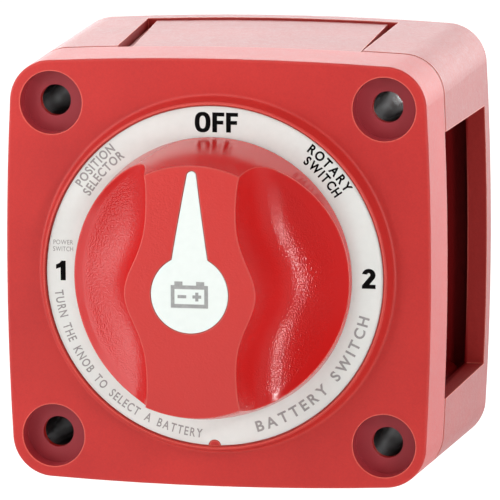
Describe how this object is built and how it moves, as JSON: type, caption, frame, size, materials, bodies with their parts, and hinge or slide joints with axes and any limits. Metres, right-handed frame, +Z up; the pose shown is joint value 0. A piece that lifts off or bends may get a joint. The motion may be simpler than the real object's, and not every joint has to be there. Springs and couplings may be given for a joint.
{
  "type": "battery selector switch",
  "caption": "Square surface-mount marine battery selector switch with a quarter-turn rotary knob, rear terminal studs and a windowed isolating casing.",
  "frame": {"origin": "centre of the four corner mounting holes in the rear mounting plane", "axes": "+Z up, the dial faces -Y, +X to the right seen from the front; the knob turns about Y"},
  "size_m": [0.0728, 0.0762, 0.0728],
  "materials": {
    "housing_red": "fine moulded texture, satin",
    "knob_red": "semi-gloss scoops, satin grip",
    "label_white": "printed label film",
    "black_plastic": "glass-filled moulding, semi-gloss",
    "tinned_copper": "tin plated",
    "copper": "bare copper",
    "brass": "turned",
    "steel": "stainless",
    "rubber": "matt",
    "nylon": "natural acetal"
  },
  "bodies": {
    "housing": {"front_housing": "housing_red", "dial_label": "label_white", "terminal_base": "black_plastic", "base_gasket": "rubber", "base_screws": "steel", "stud_common": "tinned_copper", "stud_1": "tinned_copper", "stud_2": "tinned_copper", "stud_nuts": "steel", "stud_lock_washers": "steel", "stud_flat_washers": "steel"},
    "casing": {"rear_casing": "housing_red"},
    "top_plate": {"side_plate_top": "housing_red"},
    "left_plate": {"side_plate_left": "housing_red"},
    "bottom_plate": {"side_plate_bottom": "housing_red"},
    "turning_parts": {"knob": "knob_red", "pointer_label": "label_white", "knob_screw": "steel", "spindle": "brass", "spindle_seal": "rubber", "thrust_washer": "nylon", "contact_rotor": "black_plastic", "contact_springs_1": "steel", "contact_springs_2": "steel", "index_springs": "steel"},
    "contact_1": {"contact_bar_1": "copper"},
    "contact_2": {"contact_bar_2": "copper"},
    "plunger_left": {"index_plunger_left": "nylon"},
    "plunger_right": {"index_plunger_right": "nylon"}
  },
  "joints": [
    {"name": "knob_turn", "type": "hinge", "parent": "housing", "child": "turning_parts", "pos_m": [0, -0.05, 0], "axis": [0, -1, 0], "range_deg": [-90, 90]},
    {"name": "contact_1_lift", "type": "slide", "parent": "turning_parts", "child": "contact_1", "axis": [0, -1, 0], "range_m": [0, 0.0007], "stiffness_N_per_m": 2000, "springref_m": -0.003, "deforming": ["contact_springs_1"]},
    {"name": "contact_2_lift", "type": "slide", "parent": "turning_parts", "child": "contact_2", "axis": [0, -1, 0], "range_m": [0, 0.0007], "stiffness_N_per_m": 2000, "springref_m": -0.003, "deforming": ["contact_springs_2"]},
    {"name": "plunger_left_press", "type": "slide", "parent": "turning_parts", "child": "plunger_left", "axis": [1, 0, 0], "range_m": [0, 0.0009], "stiffness_N_per_m": 800, "springref_m": -0.002, "deforming": ["index_springs"]},
    {"name": "plunger_right_press", "type": "slide", "parent": "turning_parts", "child": "plunger_right", "axis": [-1, 0, 0], "range_m": [0, 0.0009], "stiffness_N_per_m": 800, "springref_m": -0.002, "deforming": ["index_springs"]},
    {"name": "casing_pull", "type": "slide", "parent": "housing", "child": "casing", "axis": [0, 1, 0], "range_m": [0, 0.045]},
    {"name": "top_plate_pull", "type": "slide", "parent": "casing", "child": "top_plate", "axis": [0, 0, 1], "range_m": [0, 0.012]},
    {"name": "left_plate_pull", "type": "slide", "parent": "casing", "child": "left_plate", "axis": [-1, 0, 0], "range_m": [0, 0.012]},
    {"name": "bottom_plate_pull", "type": "slide", "parent": "casing", "child": "bottom_plate", "axis": [0, 0, -1], "range_m": [0, 0.012]}
  ]
}
